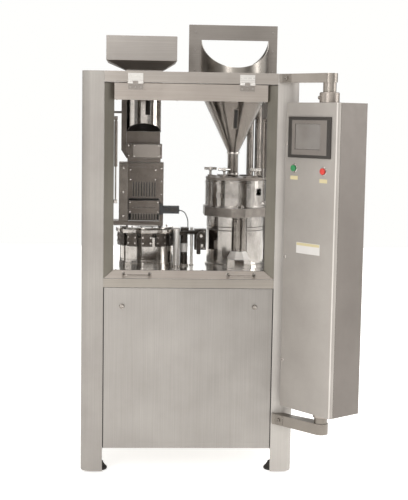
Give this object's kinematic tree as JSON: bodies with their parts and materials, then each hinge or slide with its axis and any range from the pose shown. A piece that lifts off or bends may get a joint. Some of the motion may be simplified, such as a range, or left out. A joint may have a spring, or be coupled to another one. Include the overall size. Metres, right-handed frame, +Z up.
{
  "type": "capsule_filler",
  "caption": "Automatic rotary capsule filling machine in brushed stainless steel, with a lifting front hatch, two hoppers, a turret, a dosing bowl and a swivelling control cabinet.",
  "frame": {"origin": "Bottom centre of the bounding box of the whole machine, cabinet included, on the floor.", "axes": "X to the right seen from the front, Y into the depth away from the operator, Z up."},
  "size_m": [1.188, 1.1102, 1.987],
  "materials": {
    "frame_steel": "satin stainless sheet with a vertical grain",
    "table_steel": "polished stainless work surface",
    "cabinet_steel": "warm grey cabinet",
    "door_steel": "lighter warm grey door",
    "hopper_steel": "satin stainless vessel",
    "polished_steel": "mirror polished",
    "cast_grey": "machined grey casting",
    "platform_steel": "ground steel slab",
    "clear_pane": "clear acrylic",
    "foot_rubber": "black rubber",
    "screen_plastic": "dark bezel round a grey screen",
    "green_plastic": "green button",
    "red_plastic": "red button",
    "sensor_plastic": "black sensor housing",
    "cable_rubber": "black cable sheath"
  },
  "bodies": {
    "frame": {"corner_post_front_left": "frame_steel", "corner_post_front_right": "frame_steel", "corner_post_rear_left": "frame_steel", "corner_post_rear_right": "frame_steel", "base_tray": "frame_steel", "top_frame": "frame_steel", "front_panel": "frame_steel", "left_panel": "frame_steel", "right_panel": "frame_steel", "rear_panel": "frame_steel", "swing_arm_upper": "frame_steel", "swing_arm_lower": "frame_steel", "capsule_hopper": "frame_steel", "work_table": "table_steel", "levelling_foot_front_left": "foot_rubber", "levelling_foot_front_right": "foot_rubber", "levelling_foot_rear_left": "foot_rubber", "levelling_foot_rear_right": "foot_rubber", "hatch_hinge_left": "polished_steel", "hatch_hinge_right": "polished_steel", "capsule_feed_tube": "polished_steel", "turret_housing": "polished_steel", "closing_station": "polished_steel", "dosing_drum": "polished_steel", "dosing_column": "polished_steel", "dosing_bowl": "polished_steel", "hopper_column": "polished_steel", "left_window": "clear_pane", "right_window": "clear_pane", "rear_window": "clear_pane", "capsule_magazine": "cast_grey", "main_motor": "cast_grey", "index_gearbox": "cast_grey", "dosing_platform": "platform_steel", "capsule_sensor": "sensor_plastic", "sensor_cable": "cable_rubber", "powder_hopper": "hopper_steel"},
    "hatch": {"hatch_frame": "frame_steel", "hatch_pane": "clear_pane", "hatch_handle_left": "polished_steel", "hatch_handle_right": "polished_steel"},
    "strut_cylinder_left": {"gas_strut_cylinder_left": "cast_grey"},
    "strut_cylinder_right": {"gas_strut_cylinder_right": "cast_grey"},
    "strut_rod_left": {"gas_strut_rod_left": "polished_steel"},
    "strut_rod_right": {"gas_strut_rod_right": "polished_steel"},
    "cabinet": {"control_cabinet": "cabinet_steel"},
    "door": {"cabinet_door": "door_steel", "touch_screen": "screen_plastic"},
    "start_button_cap": {"start_button": "green_plastic"},
    "stop_button_cap": {"stop_button": "red_plastic"},
    "lock_left": {"panel_lock_left": "polished_steel"},
    "lock_right": {"panel_lock_right": "polished_steel"},
    "turret": {"turret_disc": "polished_steel"},
    "dosing_rotor": {"dosing_disc": "polished_steel"},
    "drive_shaft": {"cam_shaft": "polished_steel"},
    "tamping": {"tamping_head": "cast_grey"},
    "comb": {"magazine_comb": "cast_grey"},
    "knob_left": {"clamp_knob_left": "polished_steel"},
    "knob_front": {"clamp_knob_front": "polished_steel"},
    "knob_right": {"clamp_knob_right": "polished_steel"}
  },
  "joints": [
    {"name": "hatch_lift", "type": "hinge", "parent": "frame", "child": "hatch", "pos_m": [-0.12897, -0.2809, 1.6985], "axis": [-1, 0, 0], "range_deg": [0, 85]},
    {"name": "strut_swing_left", "type": "hinge", "parent": "hatch", "child": "strut_cylinder_left", "pos_m": [-0.44897, -0.2189, 1.548], "axis": [-1, 0, 0], "range_deg": [-110.52, 0]},
    {"name": "strut_extend_left", "type": "slide", "parent": "strut_cylinder_left", "child": "strut_rod_left", "axis": [0, 0, -1], "range_m": [0, 0.1224]},
    {"name": "strut_swing_right", "type": "hinge", "parent": "hatch", "child": "strut_cylinder_right", "pos_m": [0.19103, -0.2189, 1.548], "axis": [-1, 0, 0], "range_deg": [-110.52, 0]},
    {"name": "strut_extend_right", "type": "slide", "parent": "strut_cylinder_right", "child": "strut_rod_right", "axis": [0, 0, -1], "range_m": [0, 0.1224]},
    {"name": "cabinet_swivel", "type": "hinge", "parent": "frame", "child": "cabinet", "pos_m": [0.43403, -0.4449, 0.298], "axis": [0, 0, 1], "range_deg": [-90, 10]},
    {"name": "door_hinge", "type": "hinge", "parent": "cabinet", "child": "door", "pos_m": [0.46784, -0.54414, 0.315], "axis": [0, 0, 1], "range_deg": [0, 110]},
    {"name": "start_press", "type": "slide", "parent": "door", "child": "start_button_cap", "axis": [0.8059, 0.592, 0], "range_m": [0, 0.003], "stiffness_N_per_m": 400},
    {"name": "stop_press", "type": "slide", "parent": "door", "child": "stop_button_cap", "axis": [0.8059, 0.592, 0], "range_m": [0, 0.003], "stiffness_N_per_m": 400},
    {"name": "lock_turn_left", "type": "hinge", "parent": "frame", "child": "lock_left", "pos_m": [-0.41697, -0.2729, 0.741], "axis": [0, 1, 0], "range_deg": [0, 90]},
    {"name": "lock_turn_right", "type": "hinge", "parent": "frame", "child": "lock_right", "pos_m": [0.15903, -0.2729, 0.741], "axis": [0, 1, 0], "range_deg": [0, 90]},
    {"name": "cam_rotation", "type": "hinge", "parent": "frame", "child": "drive_shaft", "pos_m": [-0.37897, 0.0251, 0.52], "axis": [1, 0, 0], "continuous": true},
    {"name": "turret_spin", "type": "hinge", "parent": "frame", "child": "turret", "pos_m": [-0.31097, 0.2011, 1.018], "axis": [0, 0, 1], "continuous": true},
    {"name": "dosing_spin", "type": "hinge", "parent": "frame", "child": "dosing_rotor", "pos_m": [0.10903, 0.2581, 1.144], "axis": [0, 0, 1], "continuous": true},
    {"name": "tamping_lift", "type": "slide", "parent": "frame", "child": "tamping", "axis": [0, 0, 1], "range_m": [0, 0.025]},
    {"name": "comb_stroke", "type": "slide", "parent": "frame", "child": "comb", "axis": [0, 0, 1], "range_m": [-0.02, 0]},
    {"name": "knob_turn_left", "type": "hinge", "parent": "tamping", "child": "knob_left", "pos_m": [-0.01267, 0.24959, 1.29], "axis": [0, 0, 1], "continuous": true},
    {"name": "knob_turn_front", "type": "hinge", "parent": "tamping", "child": "knob_front", "pos_m": [0.04619, 0.15352, 1.29], "axis": [0, 0, 1], "continuous": true},
    {"name": "knob_turn_right", "type": "hinge", "parent": "tamping", "child": "knob_right", "pos_m": [0.19223, 0.16887, 1.29], "axis": [0, 0, 1], "continuous": true}
  ],
  "couplings": [
    {"joint": "strut_swing_left", "follows": "hatch_lift", "ratio": -1.2996},
    {"joint": "strut_swing_right", "follows": "hatch_lift", "ratio": -1.2996},
    {"joint": "strut_extend_left", "follows": "hatch_lift", "m_per_rad": 0.08243},
    {"joint": "strut_extend_right", "follows": "hatch_lift", "m_per_rad": 0.08243},
    {"joint": "dosing_spin", "follows": "cam_rotation", "ratio": 0.16667},
    {"joint": "turret_spin", "follows": "cam_rotation", "ratio": 0.083333}
  ]
}
